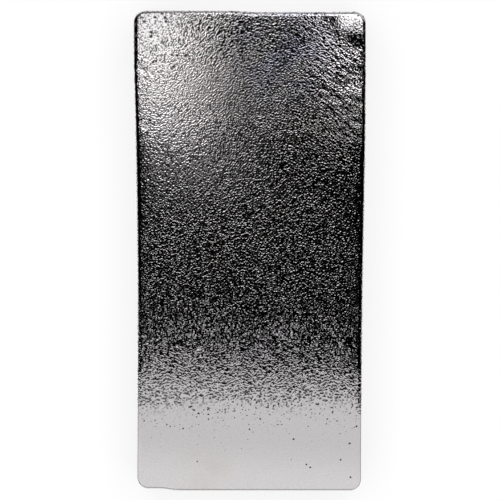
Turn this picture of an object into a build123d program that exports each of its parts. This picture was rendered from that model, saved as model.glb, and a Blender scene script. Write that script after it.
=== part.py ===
import os
from math import radians, tan

from build123d import *

# A one-kilogram silver bar, poured into an open mould and knocked out as one piece.
# It lies on its pour face, the side that set in the open air. The face that set
# against the mould floor is on top, and the sides draw in towards it by the draft.
# Millimetres and degrees: X across the bar, Y along it to the head end, Z up.
# The origin is under the middle of the bar, on the surface that it lies on.

# The mould face, measured where its sides would meet it in a sharp edge
face_length = 112.0
head_width = 54.2
foot_width = 52.2
foot_shift = -0.2  # the foot end sits this far to the left of the head end
corner_radius = 2.8

# The body below it
bar_height = 16.1
draft_angle = 2.5
mould_edge_radius = 0.75
meniscus_radius = 3.0  # the shoulder that surface tension left round the pour face

# How the sides stray from straight lines, as the mould did
flank_wave = 0.45
left_flank_shares = [(0.11, 0.2), (0.23, -0.5), (0.53, -1.0), (0.77, -0.7)]
right_flank_shares = [(0.22, -0.3), (0.46, -0.1), (0.66, 0.35), (0.82, 0.35)]
blend_share = 0.4  # how much of a short run each soft bend takes up

# The head end is hollowed from its middle to a lip beside the right corner
head_hollow = 0.3
hollow_ramp = 3.0
lip_land = 1.2
lip_ramp = 2.0

# The foot end is set back beside the left corner
foot_step = 0.5
step_land = 2.6
step_ramp = 2.8

# The shrinkage hollow in the pour face, inside a flat rim
sink_depth = 0.6
sink_rim = 4.5


def along(start, end, wave, wave_shares):
    """Points from one corner towards the next, each moved outwards by a share of the wave."""
    run = end - start
    outwards = Vector(run.Y, -run.X).normalized()
    return [start + run * place + outwards * wave * out for place, out in wave_shares]


def bend_radius(before, point, after):
    """The radius of a soft bend at a point of the outline, from the shorter run beside it."""
    turn = (point - before).get_angle(after - point)
    run = min((point - before).length, (after - point).length)
    return blend_share * run / tan(radians(turn / 2))


# Corners of the mould face, counterclockwise from the foot end's left one
half_length = face_length / 2
foot_left = Vector(foot_shift - foot_width / 2, foot_step - half_length)
foot_right = Vector(foot_shift + foot_width / 2, -half_length)
head_right = Vector(head_width / 2, half_length)
head_left = Vector(-head_width / 2, half_length)
corners = [foot_left, foot_right, head_right, head_left]

# Foot end: level beside the left corner, then a ramp out to the full length
step_start = foot_left + Vector(corner_radius + step_land, 0)
step_end = step_start + Vector(step_ramp, -foot_step)
foot_end = [foot_left, step_start, step_end, foot_right]

# Head end, from right to left: lip, ramp into the hollow, and out of it at the middle
lip_start = head_right - Vector(corner_radius + lip_land, 0)
lip_end = lip_start - Vector(lip_ramp, head_hollow)
hollow_end = Vector(0, half_length - head_hollow)
full_length_start = hollow_end + Vector(-hollow_ramp, head_hollow)
head_end = [head_right, lip_start, lip_end, hollow_end, full_length_start, head_left]

right_flank = along(foot_right, head_right, flank_wave, right_flank_shares)
left_flank = along(head_left, foot_left, flank_wave, left_flank_shares)
outline_points = foot_end + right_flank + head_end + left_flank

radii = []
for index, point in enumerate(outline_points):
    before = outline_points[index - 1]
    after = outline_points[(index + 1) % len(outline_points)]
    radii.append(corner_radius if point in corners else bend_radius(before, point, after))

with BuildPart() as silver_bar:
    with BuildSketch() as mould_outline:
        with BuildLine() as edge_line:
            FilletPolyline(outline_points, radius=radii, close=True)
        make_face()
    extrude(amount=bar_height)
    walls = silver_bar.faces().filter_by(Plane.XY, reverse=True)
    draft(walls, neutral_plane=Plane.XY.offset(bar_height), angle=draft_angle)
    fillet(silver_bar.edges().group_by(Axis.Z)[-1], radius=mould_edge_radius)
    fillet(silver_bar.edges().group_by(Axis.Z)[0], radius=meniscus_radius)

    # The hollow's floor is an arc along the bar, turned about an axis far below it,
    # so that it is dished both ways and runs out to nothing at the flat rim
    flare = bar_height * tan(radians(draft_angle))  # the draft widens the pour face by this
    rim_inset = flare - meniscus_radius - sink_rim
    sink_half_length = half_length + rim_inset
    sink_half_width = min(head_width, foot_width) / 2 + rim_inset
    dish_radius = (sink_half_width**2 + sink_depth**2) / (2 * sink_depth)
    dish_axis_height = sink_depth - dish_radius
    with BuildSketch(Plane.YZ) as dish:
        with BuildLine() as dish_profile:
            floor = ThreePointArc((-sink_half_length, 0), (0, sink_depth), (sink_half_length, 0))
            Polyline(
                floor @ 1,
                (sink_half_length, dish_axis_height),
                (-sink_half_length, dish_axis_height),
                floor @ 0,
            )
        make_face()
    revolve(axis=Axis((0, 0, dish_axis_height), (0, 1, 0)), mode=Mode.SUBTRACT)

os.makedirs("parts", exist_ok=True)
silver_bar.part.label = "silver_bar"
export_step(silver_bar.part, "parts/silver_bar.step")
print(f"{silver_bar.part.volume:.0f} mm3 of silver in a box of", silver_bar.part.bounding_box().size)
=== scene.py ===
import math

import bmesh
import bpy
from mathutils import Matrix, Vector, noise
from mathutils.bvhtree import BVHTree


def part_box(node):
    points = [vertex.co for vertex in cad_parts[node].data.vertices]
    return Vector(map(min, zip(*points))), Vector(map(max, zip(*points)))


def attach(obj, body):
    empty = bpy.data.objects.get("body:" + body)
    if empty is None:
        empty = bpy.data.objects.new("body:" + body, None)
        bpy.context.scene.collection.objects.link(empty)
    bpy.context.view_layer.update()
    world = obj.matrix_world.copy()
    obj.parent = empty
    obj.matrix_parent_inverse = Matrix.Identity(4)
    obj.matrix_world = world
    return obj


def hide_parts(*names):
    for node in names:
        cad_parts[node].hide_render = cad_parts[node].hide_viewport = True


# A cast silver bar on a pale floor, seen from straight above.
# Everything is in metres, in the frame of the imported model.
mm = 0.001

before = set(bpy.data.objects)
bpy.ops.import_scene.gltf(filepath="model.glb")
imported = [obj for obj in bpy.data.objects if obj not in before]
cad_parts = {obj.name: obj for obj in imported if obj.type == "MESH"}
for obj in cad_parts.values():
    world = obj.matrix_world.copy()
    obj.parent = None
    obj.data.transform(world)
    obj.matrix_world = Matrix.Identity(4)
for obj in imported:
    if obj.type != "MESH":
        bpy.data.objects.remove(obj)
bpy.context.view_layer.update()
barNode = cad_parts["silver_bar"]
barLow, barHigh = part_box("silver_bar")
print("frame: bar of", [round(side / mm, 2) for side in barHigh - barLow], "mm")


# Shader maths: a Wire is one output on a board, and sums of wires add Math nodes
class Wire:
    def __init__(self, board, output):
        self.board = board
        self.output = output

    def at(self, name):  # another output of the same node
        return Wire(self.board, self.output.node.outputs[name])

    def maths(self, operation, *terms):
        return self.board.add("ShaderNodeMath", {"operation": operation}, dict(enumerate(terms)))

    def __add__(self, other):
        return self.maths("ADD", self, other)

    def __sub__(self, other):
        return self.maths("SUBTRACT", self, other)

    def __rsub__(self, other):
        return self.maths("SUBTRACT", other, self)

    def __mul__(self, other):
        return self.maths("MULTIPLY", self, other)

    def __truediv__(self, other):
        return self.maths("DIVIDE", self, other)

    def __pow__(self, other):
        return self.maths("POWER", self, other)

    __radd__ = __add__
    __rmul__ = __mul__

    def largest(self, other):
        return self.maths("MAXIMUM", self, other)

    def smallest(self, other):
        return self.maths("MINIMUM", self, other)

    def step(self, start, end, low=0, high=1):  # a smooth step from low to high
        return self.board.add(
            "ShaderNodeMapRange",
            {"interpolation_type": "SMOOTHSTEP"},
            {"Value": self, "From Min": start, "From Max": end, "To Min": low, "To Max": high},
        )


# A board is the node tree of a material, a lamp or the world
class Board:
    def __init__(self, tree):
        self.tree = tree
        tree.nodes.clear()

    def add(self, kind, settings=None, sockets=None, output=None):
        node = self.tree.nodes.new(kind)
        for name, value in (settings or {}).items():
            setattr(node, name, value)
        for name, value in (sockets or {}).items():
            if isinstance(value, Wire):
                self.tree.links.new(value.output, node.inputs[name])
            else:
                node.inputs[name].default_value = value
        if not node.outputs:
            return node
        if output is not None:
            return Wire(self, node.outputs[output])
        return Wire(self, next(socket for socket in node.outputs if socket.enabled))

    def place(self):  # where a point lies, in metres, as a vector and as three wires
        spot = self.add("ShaderNodeTexCoord", output="Object")
        parts = self.add("ShaderNodeSeparateXYZ", None, {"Vector": spot})
        return spot, parts.at("X"), parts.at("Y"), parts.at("Z")

    def grain(self, spot, size, detail=0.0, stretch=1.0, flatness=1.0, turn=0.0, shift=0.0):
        # noise from 0 to 1 whose lumps are about this size, drawn out along the turned X axis
        turned = self.add(
            "ShaderNodeMapping",
            {"vector_type": "TEXTURE"},
            {
                "Vector": spot,
                "Location": (shift, shift, shift),
                "Rotation": (0, 0, turn),
                "Scale": (size * stretch, size, size * flatness),
            },
        )
        return self.add(
            "ShaderNodeTexNoise",
            None,
            {"Vector": turned, "Scale": 1.0, "Detail": detail},
            output="Fac",
        )

    def merge(self, share, first, second):
        # from one layer of noise to another, scaled so that a mixture is as strong as either
        rest = 1 - share
        return (first * rest + second * share) * (share * share + rest * rest) ** -0.5

    def near(self, spot, centre, inner, outer):  # 1 at a point, falling to 0 at the outer radius
        away = self.add(
            "ShaderNodeVectorMath", {"operation": "DISTANCE"}, {0: spot, 1: centre}, output="Value"
        )
        return away.step(inner, outer, 1, 0)

    def blend(self, share, first, second):  # between two colours
        return self.add(
            "ShaderNodeMix",
            {"data_type": "RGBA"},
            {"Factor": share, "A": first, "B": second},
            output="Result",
        )


# The bar: one closed shell of faces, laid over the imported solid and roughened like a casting
barShape = {
    "columns": 150,  # faces across the mould face
    "rows": 312,  # faces along it
    "cornerRadius": 2.8 * mm,
    "leastRadius": 0.3 * mm,
    "edgeReach": 1.15 * mm,  # the soft edge round the mould face, inwards
    "edgeDrop": 0.46 * mm,  # and down the wall
    "edgeRings": 10,
    "wallRings": 20,
    "shoulderRadius": 3.0 * mm,  # round the pour face, below
    "shoulderRings": 8,
    "draft": math.radians(1.4),
    "sinkDepth": 0.6 * mm,  # the shrinkage hollow underneath
    "sinkRim": 4.5 * mm,
    "underColumns": 75,
    "underRows": 156,
    "underInset": 0.6 * mm,  # of the pour face's own grid from the last ring
    "outlineSamples": 160,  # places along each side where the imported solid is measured
    "outlineWindow": 3,  # of them averaged to each side, which rounds off the facets
}


def readOutline(spec):
    # the four sides of the mould face, where its walls would meet it in a sharp edge
    shell = barNode.data
    tree = BVHTree.FromPolygons(
        [vertex.co for vertex in shell.vertices], [face.vertices for face in shell.polygons]
    )
    height = (barLow.z + barHigh.z) / 2
    flare = (barHigh.z - height) * math.tan(spec["draft"])
    samples, window = spec["outlineSamples"], spec["outlineWindow"]

    def readSide(axis, sign):
        across = 1 - axis
        reach = barHigh[across] - 2 * spec["cornerRadius"] - flare
        found = []
        for index in range(samples + 1):
            start = Vector((0, 0, height))
            start[across] = reach * (2 * index / samples - 1)
            heading = Vector((0, 0, 0))
            heading[axis] = sign
            hit = tree.ray_cast(start, heading)[0]
            found.append(abs(hit[axis]) - flare)
        even = []
        for index in range(samples + 1):
            near = found[max(0, index - window):index + window + 1]
            even.append(sum(near) / len(near))

        def sideAt(where):
            step = min(max((where / reach + 1) / 2, 0), 1) * samples
            first = min(int(step), samples - 1)
            share = step - first
            return even[first] * (1 - share) + even[first + 1] * share

        return sideAt

    return {
        "left": readSide(0, -1),
        "right": readSide(0, 1),
        "foot": readSide(1, -1),
        "head": readSide(1, 1),
        "halfWidth": barHigh.x - flare * 2,
        "halfLength": barHigh.y - flare * 2,
    }


def layOut(outline, spec, u, v, outset):
    # a place of the flat pattern, with u and v from -1 to 1, on the outline moved out by outset
    halfX = outline["halfWidth"] + outset
    halfY = outline["halfLength"] + outset
    radius = max(spec["cornerRadius"] + outset, spec["leastRadius"])
    x, y = u * halfX, v * halfY
    inX = (abs(x) - halfX + radius) / radius
    inY = (abs(y) - halfY + radius) / radius
    if inX > 0 and inY > 0:
        x = math.copysign(halfX - radius + radius * inX * math.sqrt(1 - inY * inY / 2), x)
        y = math.copysign(halfY - radius + radius * inY * math.sqrt(1 - inX * inX / 2), y)
    left, right = outline["left"](y), outline["right"](y)
    foot, head = outline["foot"](x), outline["head"](x)
    width, length = outline["halfWidth"], outline["halfLength"]
    return (
        (right - left) / 2 + x * (right + left) / 2 / width,
        (head - foot) / 2 + y * (head + foot) / 2 / length,
    )


def wallProfile(spec, height):
    # outset and height of each ring, from the edge of the mould face down to the pour face
    draft = spec["draft"]
    reach, drop, shoulder = spec["edgeReach"], spec["edgeDrop"], spec["shoulderRadius"]
    rings = []
    for index in range(spec["edgeRings"] + 1):
        turn = math.pi / 2 * index / spec["edgeRings"]
        rings.append((reach * (math.sin(turn) - 1), height - drop * (1 - math.cos(turn))))
    centre = (height - shoulder) * math.tan(draft) - shoulder / math.cos(draft)
    curve = []
    for index in range(spec["shoulderRings"] + 1):
        turn = draft - (draft + math.pi / 2) * index / spec["shoulderRings"]
        curve.append((centre + shoulder * math.cos(turn), shoulder + shoulder * math.sin(turn)))
    top, bottom = Vector(rings[-1]), Vector(curve[0])
    for index in range(1, spec["wallRings"]):
        rings.append(tuple(top.lerp(bottom, index / spec["wallRings"])))
    return rings + curve


def sinkHeight(spec, x, y):
    # the underside: a dish whose floor is an arc along the bar, turned about a low axis
    inset = spec["shoulderRadius"] + spec["sinkRim"]
    halfX, halfY = barHigh.x - inset, barHigh.y - inset
    depth = spec["sinkDepth"]
    radiusX = (halfX**2 + depth**2) / (2 * depth)
    radiusY = (halfY**2 + depth**2) / (2 * depth)
    axis = depth - radiusX
    if abs(y) >= halfY or abs(x) >= halfX:
        return 0.0
    reach = depth - radiusY + math.sqrt(radiusY**2 - y**2) - axis
    return max(0.0, axis + math.sqrt(max(0.0, reach**2 - x**2)))


# The casting's relief that shows as shape: swells and ripples, and the marks seen one by one
relief = {
    "swellSize": 17 * mm,
    "swellHeight": 0.020 * mm,
    "rippleSize": 3.4 * mm,
    "rippleHeight": 0.006 * mm,
    "rippleShift": (7, 3, 1),  # where in the noise it is read
    "finerSize": 0.55,  # of a second ripple, as a share of the first one's
    "finerHeight": 0.6,
    "finerShift": (1, 9, 4),
    "sag": 0.45 * mm,  # of the mould face's middle, between its ends
    "rollStart": 19.8 * mm,  # the right side rolls off from here
    "rollDepth": 0.42 * mm,
    "rollHeadEnd": 18 * mm,  # and ends here, short of the head end, over the next length
    "rollRunOut": 12 * mm,
    "rollFootEnd": -22 * mm,  # and short of the foot end, over the next length
    "rollFootRunOut": 7 * mm,
    "leftRollStart": -22.6 * mm,  # the left side rolls off less
    "leftRollDepth": 0.36 * mm,
    "rippleLevel": 2.5,  # in the noise that the single ripples are read from
    "ripples": [
        # centre across and along, reach across and along, angle, length, width, height
        (24.0 * mm, 35.0 * mm, 10.0 * mm, 11.0 * mm, -33, 3.6 * mm, 0.95 * mm, 0.09 * mm),
        (-26.5 * mm, 42.0 * mm, 5.5 * mm, 6.0 * mm, -35, 3.0 * mm, 0.85 * mm, 0.08 * mm),
        (-14.0 * mm, 18.0 * mm, 13.0 * mm, 12.0 * mm, 38, 4.0 * mm, 1.4 * mm, 0.012 * mm),
    ],
    "marks": [
        # place across and along, radius, height
        (-17.7 * mm, 23.4 * mm, 0.9 * mm, 0.045 * mm),
        (-25.0 * mm, 27.8 * mm, 0.8 * mm, 0.05 * mm),
        (-24.2 * mm, 26.6 * mm, 0.6 * mm, -0.04 * mm),
        (14.4 * mm, 10.0 * mm, 0.6 * mm, 0.03 * mm),
        (15.6 * mm, 9.6 * mm, 0.6 * mm, 0.03 * mm),
    ],
    "markFall": 1.5,  # how steeply a mark runs out
    "markReach": 3,  # radii beyond which it is left out
    "upwardFrom": 0.2,  # how far a face looks up before it has ripples and marks
    "upwardRise": 0.6,  # and how much more until it has them in full
    "dropFrom": 0.4,  # share of the height from which the walls follow the mould face down
    "below": 0.05 * mm,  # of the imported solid's skin, so that no lump stands out of it
}


def smooth(share):
    share = min(max(share, 0), 1)
    return share * share * (3 - 2 * share)


def dropAt(spot, spec):
    # how far the mould face has sunk here, by its sag and by the way its sides roll off
    along = smooth((spec["rollHeadEnd"] + spec["rollRunOut"] - spot.y) / spec["rollRunOut"])
    along *= smooth((spot.y - spec["rollFootEnd"] + spec["rollFootRunOut"]) / spec["rollFootRunOut"])
    drop = spec["sag"] * (1 - (spot.y / barHigh.y) ** 2)
    for start, end, depth in (
        (spec["rollStart"], barHigh.x, spec["rollDepth"]),
        (spec["leftRollStart"], barLow.x, spec["leftRollDepth"]),
    ):
        roll = min(max((spot.x - start) / (end - start), 0), 1)
        drop += depth * roll * roll * along
    return drop * smooth((spot.z / barHigh.z - spec["dropFrom"]) / (1 - spec["dropFrom"]))


def reliefAt(spot, upward, spec):
    # how far the surface stands out here; upward is 1 on the mould face and 0 on the walls
    swell = noise.noise(spot / spec["swellSize"])
    ripple = noise.noise(spot / spec["rippleSize"] + Vector(spec["rippleShift"]))
    finerSize = spec["finerSize"] * spec["rippleSize"]
    ripple += spec["finerHeight"] * noise.noise(spot / finerSize + Vector(spec["finerShift"]))
    height = spec["swellHeight"] * swell + spec["rippleHeight"] * ripple - spec["below"]
    if upward > spec["upwardFrom"]:
        own = 0
        for x, y, reachX, reachY, angle, length, width, rise in spec["ripples"]:
            away = math.hypot((spot.x - x) / reachX, (spot.y - y) / reachY)
            if away < 1:
                turn = math.radians(angle)
                down = (spot.x * math.cos(turn) + spot.y * math.sin(turn)) / length
                over = (spot.y * math.cos(turn) - spot.x * math.sin(turn)) / width
                lumps = noise.noise(Vector((down, over, spec["rippleLevel"])))
                own += rise * (1 - away * away) * lumps
        for x, y, radius, mark in spec["marks"]:
            away = math.hypot(spot.x - x, spot.y - y) / radius
            if away < spec["markReach"]:
                own += mark * math.exp(-away * away * spec["markFall"])
        height += own * smooth((upward - spec["upwardFrom"]) / spec["upwardRise"])
    return height


def makeBar(shape, spec):
    outline = readOutline(shape)
    height = barHigh.z - barLow.z
    profile = wallProfile(shape, height)
    mesh = bmesh.new()
    across = mesh.verts.layers.float.new("across")
    along = mesh.verts.layers.float.new("along")

    def sheetOf(columns, rows):
        made = bmesh.ops.create_grid(mesh, x_segments=columns, y_segments=rows, size=1)["verts"]
        for vertex in made:
            vertex[across], vertex[along] = vertex.co.x, vertex.co.y
        return made

    def setDown(vertices, outset, z):
        for vertex in vertices:
            x, y = layOut(outline, shape, vertex[across], vertex[along], outset)
            vertex.co = (x, y, z(x, y) if callable(z) else z)

    def rimOf(vertices):
        return [edge for edge in mesh.edges if edge.is_boundary and edge.verts[0] in vertices]

    # the mould face, then one ring after another down its walls
    top = sheetOf(shape["columns"], shape["rows"])
    setDown(top, profile[0][0], height)
    rim = rimOf(set(top))
    for outset, z in profile[1:]:
        grown = bmesh.ops.extrude_edge_only(mesh, edges=rim)["geom"]
        ring = [item for item in grown if isinstance(item, bmesh.types.BMVert)]
        rim = [item for item in grown if isinstance(item, bmesh.types.BMEdge) and item.is_boundary]
        setDown(ring, outset, z)

    # the pour face, coarser because it lies on the floor
    under = sheetOf(shape["underColumns"], shape["underRows"])
    setDown(under, profile[-1][0] - shape["underInset"], lambda x, y: sinkHeight(shape, x, y))
    bmesh.ops.bridge_loops(mesh, edges=rim + rimOf(set(under)))
    bmesh.ops.recalc_face_normals(mesh, faces=mesh.faces)
    mesh.normal_update()
    moves = []
    for vertex in mesh.verts:
        upward = max(0.0, vertex.normal.z)
        moves.append((vertex, vertex.normal * reliefAt(vertex.co, upward, spec)))
    for vertex, move in moves:
        vertex.co += move
        vertex.co.z -= dropAt(vertex.co, spec)
        vertex.co.z = min(max(vertex.co.z, barLow.z), barHigh.z)
    for face in mesh.faces:
        face.smooth = True
    data = bpy.data.meshes.new("castBar")
    mesh.to_mesh(data)
    mesh.free()
    bar = bpy.data.objects.new("castBar", data)
    bpy.context.scene.collection.objects.link(bar)
    print("bar:", len(data.polygons), "faces")
    return bar


# The finish: bright cast silver, finely stippled where the mould was rough
silverFinish = {
    "colour": (0.958, 0.932, 0.941, 1),
    "tints": [
        # centre across and along, reach, colour: faint tints of colour
        (9 * mm, 46 * mm, 19 * mm, (0.81, 0.80, 0.99, 1)),
        (-15 * mm, 43 * mm, 16 * mm, (0.96, 0.925, 0.915, 1)),
        (13 * mm, 31 * mm, 9 * mm, (0.955, 0.92, 0.91, 1)),
        (2 * mm, -18 * mm, 14 * mm, (0.92, 0.89, 0.955, 1)),
        (22 * mm, -33 * mm, 11 * mm, (0.96, 0.915, 0.925, 1)),
        (-10.5 * mm, -52 * mm, 9 * mm, (0.90, 0.845, 0.81, 1)),
    ],
    "cloudSize": 7 * mm,  # of the noise that breaks up the edges of tints and flows
    "tintCloud": (0.25, 0.6),  # how strong it is where there is none of a tint, and all of it
    "roughness": (0.02, 0.045),
    "roughnessSize": 5 * mm,
    "roughnessCloud": (0.3, 0.7),
    "stippleSize": 0.31 * mm,
    "stippleHeight": 0.054 * mm,
    "stippleStretch": 1.25,  # the grains are drawn out along two flows that meet off centre
    "leftFlow": math.radians(42),
    "rightFlow": math.radians(-38),
    "flowsMeet": (7 * mm, 13 * mm),
    "flowsFrom": (-4 * mm, 12 * mm),  # the grains are round footwards of this
    "flowStray": 16 * mm,  # of both borders
    "footSize": 0.38 * mm,  # towards the foot the grains are larger, and drawn out across
    "footHeight": 0.057 * mm,
    "footStretch": 1.35,
    "footTurn": math.radians(22),  # to either side
    "footCloud": (0.42, 0.58),
    "footFrom": (-15 * mm, -24 * mm),  # where they set in, and are the only ones
    "strokeSize": 0.5 * mm,  # long strokes across the right side near the head
    "strokeStretch": 3.2,
    "strokeHeight": 0.075 * mm,
    "strokePlace": (25 * mm, 38 * mm),
    "strokeReach": (5 * mm, 17 * mm),
    "smoothPlaces": [
        # centre across and along, where the grain starts and is full, share kept inside
        (28 * mm, 57.5 * mm, 9 * mm, 13 * mm, 0.15),
        (-26 * mm, 56 * mm, 4 * mm, 14 * mm, 0.45),
    ],
    "shifts": (0.0, 0.031, 0.057),  # how far off each layer of noise is read, in metres
    "smoothFrom": -30 * mm,  # the foot end set smoother than the rest
    "smoothTo": -39.5 * mm,
    "smoothShare": 0.12,
    "smoothStray": 6 * mm,
    "peckSize": 0.43 * mm,  # small holes scattered over the start of the smooth end
    "peckLimit": 0.66,  # of the noise above which there is a hole
    "peckEdge": 0.04,
    "peckFade": (0.95, 0.6),  # shares of grain where they set in, and are full
    "peckFrom": -35 * mm,
    "peckThinning": 16,  # rise of that limit for each metre further on
    "hollowShadeColour": (0.20, 0.19, 0.195, 1),  # dull metal and painted shade down between the grains
    "hollows": (0.0, -0.20),  # how deep the noise is where the dull metal starts, and is full
    "hollowFade": (0.12, 0.75),  # shares of grain where it sets in, and is full
    "hollowShare": 0.03,  # of it at the foot end
    "speckleSize": 0.27 * mm,  # faint uneven shine over the whole
    "speckleColour": (0.742, 0.722, 0.731, 1),
    "speckleShare": 0.45,
    "speckleCloud": (0.35, 0.75),
    "sideFrom": 1.3 * mm,  # below the highest point: from here down, the walls' finish, rougher and painted darker as shade
    "sideTo": 2.6 * mm,
    # the walls' colour, and a darker one in the laps: painted shade, so that the walls mirror the
    # floor less brightly
    "sideShadeColour": (0.62, 0.61, 0.62, 1),
    "lapShadeColour": (0.50, 0.49, 0.50, 1),
    "sideRoughness": 0.24,  # more than the mould face
    "sideStipple": 0.45,  # share of the stipple that the walls keep
    "lapSize": 13 * mm,  # level laps on the walls, where the metal rose in the mould
    "lapFlatness": 0.12,
    "lapHeight": 0.06 * mm,
    "lapCloud": (0.3, 0.7),
    # painted shade, down in the pits and the small holes
    "pitShadeColour": (0.07, 0.07, 0.075, 1),
    "pits": [
        # place across and along, radius
        (-14.0 * mm, -36.5 * mm, 0.34 * mm),
        (-13.0 * mm, -37.2 * mm, 0.30 * mm),
        (-12.0 * mm, -38.0 * mm, 0.36 * mm),
        (-9.7 * mm, -38.2 * mm, 0.28 * mm),
        (10.2 * mm, -44.0 * mm, 0.32 * mm),
        (13.2 * mm, -49.9 * mm, 0.28 * mm),
        (14.1 * mm, -50.6 * mm, 0.30 * mm),
        (23.3 * mm, -45.0 * mm, 0.34 * mm),
        (24.9 * mm, -41.0 * mm, 0.30 * mm),
        (-15.6 * mm, -41.5 * mm, 0.26 * mm),
        (-0.1 * mm, -41.7 * mm, 0.26 * mm),
        (23.5 * mm, -52.9 * mm, 0.30 * mm),
        (-12.3 * mm, -49.2 * mm, 0.22 * mm),
        (-24.7 * mm, -39.7 * mm, 0.24 * mm),
        (25.0 * mm, -36.6 * mm, 0.30 * mm),
        (21.2 * mm, -48.8 * mm, 0.28 * mm),
        (-24.7 * mm, 53.5 * mm, 0.40 * mm),
        (-22.1 * mm, 54.5 * mm, 0.34 * mm),
        (-19.8 * mm, 54.4 * mm, 0.40 * mm),
        (-19.6 * mm, 53.5 * mm, 0.36 * mm),
        (-23.1 * mm, 51.0 * mm, 0.38 * mm),
        (-23.1 * mm, 50.0 * mm, 0.44 * mm),
        (-18.2 * mm, 45.7 * mm, 0.38 * mm),
        (-17.0 * mm, 45.6 * mm, 0.38 * mm),
        (-14.9 * mm, 45.6 * mm, 0.44 * mm),
        (-22.6 * mm, 44.0 * mm, 0.36 * mm),
        (-21.9 * mm, 44.3 * mm, 0.34 * mm),
        (-17.9 * mm, 42.9 * mm, 0.40 * mm),
        (-25.4 * mm, 30.6 * mm, 0.38 * mm),
        (-23.3 * mm, 30.4 * mm, 0.34 * mm),
    ],
    "pitDepth": 0.03 * mm,
    "pitFloor": 0.4,  # share of the radius
    "nubs": [
        # raised grains that catch the light where the right side rolls off
        (24.7 * mm, 13.8 * mm, 0.38 * mm),
        (24.7 * mm, 8.6 * mm, 0.42 * mm),
        (22.8 * mm, 5.1 * mm, 0.38 * mm),
        (25.8 * mm, 4.6 * mm, 0.34 * mm),
        (24.4 * mm, 0.4 * mm, 0.38 * mm),
        (25.8 * mm, -3.5 * mm, 0.34 * mm),
        (23.0 * mm, -13.1 * mm, 0.38 * mm),
    ],
    "nubHeight": 0.045 * mm,
}


def layGrain(board, spec, spot, x, y, clouds):
    # the stipple, and how much of it is of the foot's kind: drawn out in two directions over
    # the head half, round in the middle, and coarser and drawn out across towards the foot
    size, stretch, shifts = spec["stippleSize"], spec["stippleStretch"], spec["shifts"]
    left = board.grain(spot, size, stretch=stretch, turn=spec["leftFlow"], shift=shifts[0])
    right = board.grain(spot, size, stretch=stretch, turn=spec["rightFlow"], shift=shifts[1])
    even = board.grain(spot, size, shift=shifts[2])
    stray = (clouds - 0.5) * spec["flowStray"]
    drawn = board.merge((x + stray).step(*spec["flowsMeet"]), left - 0.5, right - 0.5)
    head = board.merge((y + stray).step(*spec["flowsFrom"]), even - 0.5, drawn)
    size, stretch, turn = spec["footSize"], spec["footStretch"], spec["footTurn"]
    left = board.grain(spot, size, stretch=stretch, turn=turn, shift=shifts[2])
    right = board.grain(spot, size, stretch=stretch, turn=-turn, shift=shifts[0])
    foot = board.merge(clouds.step(*spec["footCloud"]), left - 0.5, right - 0.5)
    low = y.step(*spec["footFrom"])
    return board.merge(low, head, foot), low


def layPits(board, spec, spot, flat, y, fade):
    # pecks that thin out towards the foot, and the pits that have their own places
    pecks = board.grain(spot, spec["peckSize"], shift=spec["shifts"][1])
    limit = ((spec["peckFrom"] - y) * spec["peckThinning"]).largest(0) + spec["peckLimit"]
    pits = (pecks - limit).step(0, spec["peckEdge"]) * fade.step(*spec["peckFade"])
    for across, along, radius in spec["pits"]:
        pits = pits + board.near(flat, (across, along, 0), radius * spec["pitFloor"], radius)
    return pits


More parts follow.
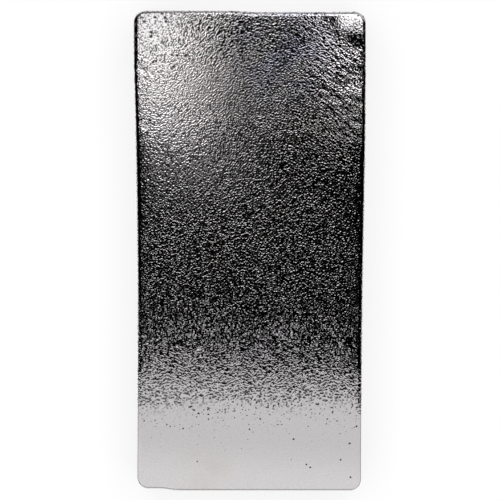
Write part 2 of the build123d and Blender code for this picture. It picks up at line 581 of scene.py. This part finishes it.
def makeSilver(spec):
    material = bpy.data.materials.new("castSilver")
    material.use_nodes = True
    board = Board(material.node_tree)
    spot, x, y, z = board.place()
    # single marks are placed across and along only, because the face sags
    flat = board.add("ShaderNodeVectorMath", {"operation": "MULTIPLY"}, {0: spot, 1: (1, 1, 0)})
    clouds = board.grain(spot, spec["cloudSize"], detail=2.0)
    side = z.step(barHigh.z - spec["sideFrom"], barHigh.z - spec["sideTo"])
    kept = 1 - side * (1 - spec["sideStipple"])

    # how much of the grain there is: less at the foot end and in the smooth places
    ragged = y + (clouds - 0.5) * spec["smoothStray"]
    fade = ragged.step(spec["smoothTo"], spec["smoothFrom"], spec["smoothShare"], 1)
    for across, along, inner, outer, share in spec["smoothPlaces"]:
        fade = fade * (1 - board.near(flat, (across, along, 0), inner, outer) * (1 - share))
    fade = fade.largest(side)  # the walls are as rough at the ends as elsewhere

    # height: grain and long strokes, laps on the walls, then pits and raised grains
    stipple, low = layGrain(board, spec, spot, x, y, clouds)
    tall = low * (spec["footHeight"] - spec["stippleHeight"]) + spec["stippleHeight"]
    size, stretch, turn = spec["strokeSize"], spec["strokeStretch"], spec["rightFlow"]
    strokes = board.grain(spot, size, stretch=stretch, turn=turn, shift=spec["shifts"][1])
    strokes = strokes * board.near(flat, (*spec["strokePlace"], 0), *spec["strokeReach"]) * fade
    laps = board.grain(spot, spec["lapSize"], detail=1.0, flatness=spec["lapFlatness"])
    pits = layPits(board, spec, spot, flat, y, fade) * (1 - side)
    height = (stipple * tall * fade + strokes * spec["strokeHeight"]) * kept
    height = height + laps * side * spec["lapHeight"]
    for across, along, radius in spec["nubs"]:
        nub = board.near(flat, (across, along, 0), 0, radius) * (1 - side)
        height = height + nub * spec["nubHeight"]
    height = height - pits * spec["pitDepth"]
    normal = board.add("ShaderNodeBump", None, {"Strength": 1.0, "Distance": 1.0, "Height": height})

    # colour: faint tints over the whole, the walls' painted shade, then painted shade in the hollows
    # and the pits
    colour = spec["colour"]
    for across, along, reach, tint in spec["tints"]:
        tinted = board.near(flat, (across, along, 0), 0, reach) * clouds.step(*spec["tintCloud"])
        colour = board.blend(tinted, colour, tint)
    speckle = board.grain(spot, spec["speckleSize"], detail=2.0)
    speckle = speckle.step(*spec["speckleCloud"], 0, spec["speckleShare"])
    colour = board.blend(speckle, colour, spec["speckleColour"])
    # painted shade on the walls: darker than the mould face, and darker still in the laps
    shadedWall = board.blend(laps.step(*spec["lapCloud"]), spec["lapShadeColour"], spec["sideShadeColour"])
    colour = board.blend(side, colour, shadedWall)
    # painted shade darkens the hollows between the grains
    hollowShade = stipple.step(*spec["hollows"]) * fade.step(*spec["hollowFade"], spec["hollowShare"], 1)
    colour = board.blend(hollowShade * kept, colour, spec["hollowShadeColour"])
    # painted shade down in the pits and the small holes
    colour = board.blend(pits, colour, spec["pitShadeColour"])
    dull = board.grain(spot, spec["roughnessSize"], detail=3.0)
    dull = dull.step(*spec["roughnessCloud"], *spec["roughness"])
    dull = dull + side * spec["sideRoughness"]
    surface = board.add(
        "ShaderNodeBsdfPrincipled",
        None,
        {"Base Color": colour, "Metallic": 1.0, "Roughness": dull, "Normal": normal},
    )
    board.add("ShaderNodeOutputMaterial", None, {"Surface": surface})
    print("finish: castSilver with", len(material.node_tree.nodes), "nodes")
    return material


bar = makeBar(barShape, relief)
bar.data.materials.append(makeSilver(silverFinish))
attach(bar, "root")
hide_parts("silver_bar")

# The camera looks straight down, at the scale of the photograph
view = {
    "imageWidth": 500,  # pixels
    "scale": 0.2335 * mm,  # of one pixel, at the mould face
    "distance": 600 * mm,  # above the mould face
    "centre": (0.02 * mm, 0.16 * mm),
    "sensor": 36.0,
}
camera = bpy.data.cameras.new("camera")
camera.sensor_width = view["sensor"]
camera.lens = view["sensor"] * view["distance"] / (view["imageWidth"] * view["scale"])
cameraObject = bpy.data.objects.new("camera", camera)
cameraObject.location = (*view["centre"], barHigh.z + view["distance"])
bpy.context.scene.collection.objects.link(cameraObject)
bpy.context.scene.camera = cameraObject
bpy.context.scene.view_settings.view_transform = "Standard"
print("camera:", view["distance"] / mm, "mm above the mould face")

# The studio: a pale floor, a ceiling that is dark overhead, panels in it, and a pale sweep
studio = {
    "floorSize": 8,
    "floorColour": (0.97, 0.97, 0.97, 1),
    "floorShown": 0.7,  # share of plain white in the floor as the camera and the metal see it
    "ceiling": 0.001,  # straight overhead
    "ceilingSpot": (0.295, 0.45),  # where the dark spot overhead ends, and where full light starts
    "ceilingMost": 1.45,  # the radiance of full light
    "ceilingAcross": 0.5,  # the smaller this is, the wider the spot is across
    "ceilingShift": (0.09, -0.18),  # the middle of the spot, across and along
    # headings between which it fades in, from the left, the right, the back and the front
    "ceilingLeft": (-0.24, -0.10),
    "ceilingRight": (0.22, 0.08),
    "ceilingBack": (0.46, 0.24),
    "ceilingFront": (-0.60, -0.45),
    "glow": 0.50,  # of the walls of the studio, lower down
    "glowRise": (0.84, 0.70),  # the height of a direction, from none of it to all of it
    "sideRise": (0.52, 0.38),  # the same to the left and right, where the studio is dark
    "sideShare": (0.36, 0.70),  # how much of a direction is sideways where that starts, and is full
    "sweep": 0.45,  # more, near the floor
    "sweepRise": (0.32, 0.08),
}
panels = {
    # edges as they show in the mould face, degrees of turn, height above it, radiance of the
    # middle, and the length over which it fades in at an edge
    "frontPanel": {
        "across": (-110 * mm, 110 * mm),
        "along": (-93 * mm, -28.2 * mm),
        # back of the last of these places, there is none of it left or right of the other two
        "notches": (-29.5 * mm, 28.5 * mm, -34 * mm),
        "notchEdge": 0.01,  # share of the panel over which it ends there
        "turn": -2.5,
        "rise": (0.79, 0.62, 1.0, 1.19),  # two shares of its length, and how bright it is at each
        "above": 70 * mm,
        "radiance": 0.58,
        "fade": 1 * mm,
    },
    "leftPanel": {
        "across": (-33 * mm, -11.5 * mm),
        "along": (25.5 * mm, 62 * mm),
        "turn": -8,
        "above": 70 * mm,
        "radiance": 0.96,
        "fade": 7 * mm,
    },
    "patchPanel": {
        "across": (-28 * mm, -1 * mm),
        "along": (11 * mm, 31 * mm),
        "above": 70 * mm,
        "radiance": 0.13,
        "fade": 7 * mm,
    },
    "cornerPanel": {
        "across": (20.5 * mm, 39 * mm),
        "along": (49.5 * mm, 66 * mm),
        "above": 70 * mm,
        "radiance": 1.25,
        "fade": 2 * mm,
    },
    "rightPanel": {
        "across": (25.5 * mm, 38 * mm),
        "along": (27 * mm, 33 * mm),
        "above": 70 * mm,
        "radiance": 0.9,
        "fade": 2 * mm,
    },
    "backPanel": {
        "across": (-21 * mm, 110 * mm),
        "along": (62 * mm, 95 * mm),
        "above": 70 * mm,
        "radiance": 0.45,
        "fade": 3 * mm,
    },
}
floorLamp = {
    "above": 1.6,  # the floor
    "size": 2.4,
    "radiance": 2.0,
}


def makeFloor(spec):
    mesh = bmesh.new()
    bmesh.ops.create_grid(mesh, x_segments=1, y_segments=1, size=spec["floorSize"] / 2)
    data = bpy.data.meshes.new("floor")
    mesh.to_mesh(data)
    mesh.free()
    floor = bpy.data.objects.new("floor", data)
    bpy.context.scene.collection.objects.link(floor)
    material = bpy.data.materials.new("paleFloor")
    material.use_nodes = True
    board = Board(material.node_tree)
    matt = board.add("ShaderNodeBsdfDiffuse", None, {"Color": spec["floorColour"]})
    white = board.add("ShaderNodeEmission")
    path = board.add("ShaderNodeLightPath", output="Is Camera Ray")
    shown = path.largest(path.at("Is Glossy Ray")).largest(path.at("Is Transmission Ray"))
    shade = board.add("ShaderNodeMixShader", None, {0: shown * spec["floorShown"], 1: matt, 2: white})
    board.add("ShaderNodeOutputMaterial", None, {"Surface": shade})
    data.materials.append(material)


def makeWorld(spec):
    world = bpy.data.worlds.new("studio")
    bpy.context.scene.world = world
    world.use_nodes = True
    board = Board(world.node_tree)
    heading = board.add("ShaderNodeTexCoord", output="Generated")
    parts = board.add("ShaderNodeSeparateXYZ", None, {"Vector": heading})
    shiftX, shiftY = spec["ceilingShift"]
    x, y, z = parts.at("X"), parts.at("Y"), parts.at("Z")
    across, along = x - shiftX, y - shiftY
    away = (along * along + across * across * spec["ceilingAcross"]) ** 0.5
    sides = x.step(*spec["ceilingLeft"]) * x.step(*spec["ceilingRight"])
    ends = y.step(*spec["ceilingBack"]) * y.step(*spec["ceilingFront"])
    ceiling = away.step(*spec["ceilingSpot"], 0, spec["ceilingMost"]) * sides * ends + spec["ceiling"]
    sideways = (x * x / (x * x + y * y)).step(*spec["sideShare"])
    glow = z.step(*spec["glowRise"]) * (1 - sideways) + z.step(*spec["sideRise"]) * sideways
    strength = ceiling.largest(glow * spec["glow"] + z.step(*spec["sweepRise"], 0, spec["sweep"]))
    light = board.add("ShaderNodeBackground", None, {"Color": (1, 1, 1, 1), "Strength": strength})
    board.add("ShaderNodeOutputWorld", None, {"Surface": light})


def makePanel(name, size, centre, radiance):
    # a rectangle of light that faces down and that the camera doesn't see
    lamp = bpy.data.lights.new(name, "AREA")
    lamp.shape = "RECTANGLE"
    lamp.size, lamp.size_y = size
    lamp.energy = radiance * lamp.size * lamp.size_y * math.pi
    panel = bpy.data.objects.new(name, lamp)
    panel.location = centre
    panel.visible_camera = False
    bpy.context.scene.collection.objects.link(panel)
    return panel


def makeMirroredPanel(name, spec):
    # a panel that the metal shows and that leaves the floor as it is
    spread = 1 + spec["above"] / view["distance"]  # from its place in the face to its own
    west, east = [edge * spread for edge in spec["across"]]
    south, north = [edge * spread for edge in spec["along"]]
    width, length = east - west, north - south
    centre = ((west + east) / 2, (south + north) / 2, barHigh.z + spec["above"])
    panel = makePanel(name, (width, length), centre, spec["radiance"])
    panel.visible_diffuse = False
    panel.rotation_euler.z = math.radians(spec.get("turn", 0))
    lamp = panel.data
    lamp.use_nodes = True
    board = Board(lamp.node_tree)
    spot = board.add("ShaderNodeNewGeometry", output="Parametric")
    parts = board.add("ShaderNodeSeparateXYZ", None, {"Vector": spot})
    u, v = parts.at("X"), parts.at("Y")
    inwards = (u.smallest(1 - u) * width).smallest(v.smallest(1 - v) * length)
    strength = inwards.step(0, spec["fade"])
    if "notches" in spec:
        left, right, back = [place * spread for place in spec["notches"]]
        left, right, back = (left - west) / width, (right - west) / width, (back - south) / length
        soft = spec["notchEdge"]
        beside = u.step(left, left - soft) + u.step(right, right + soft)
        strength = strength * (1 - beside * v.step(back, back + soft))
    if "rise" in spec:
        strength = strength * v.step(*spec["rise"])
    light = board.add("ShaderNodeEmission", None, {"Strength": strength})
    board.add("ShaderNodeOutputLight", None, {"Surface": light})


makeFloor(studio)
makeWorld(studio)
for name, spec in panels.items():
    makeMirroredPanel(name, spec)
lamp = makePanel(
    "floorLamp",
    (floorLamp["size"], floorLamp["size"]),
    (0, 0, floorLamp["above"]),
    floorLamp["radiance"],
)
lamp.visible_glossy = False  # it lights the floor, and the metal doesn't show it
print("studio:", len(panels), "panels and a floor lamp")
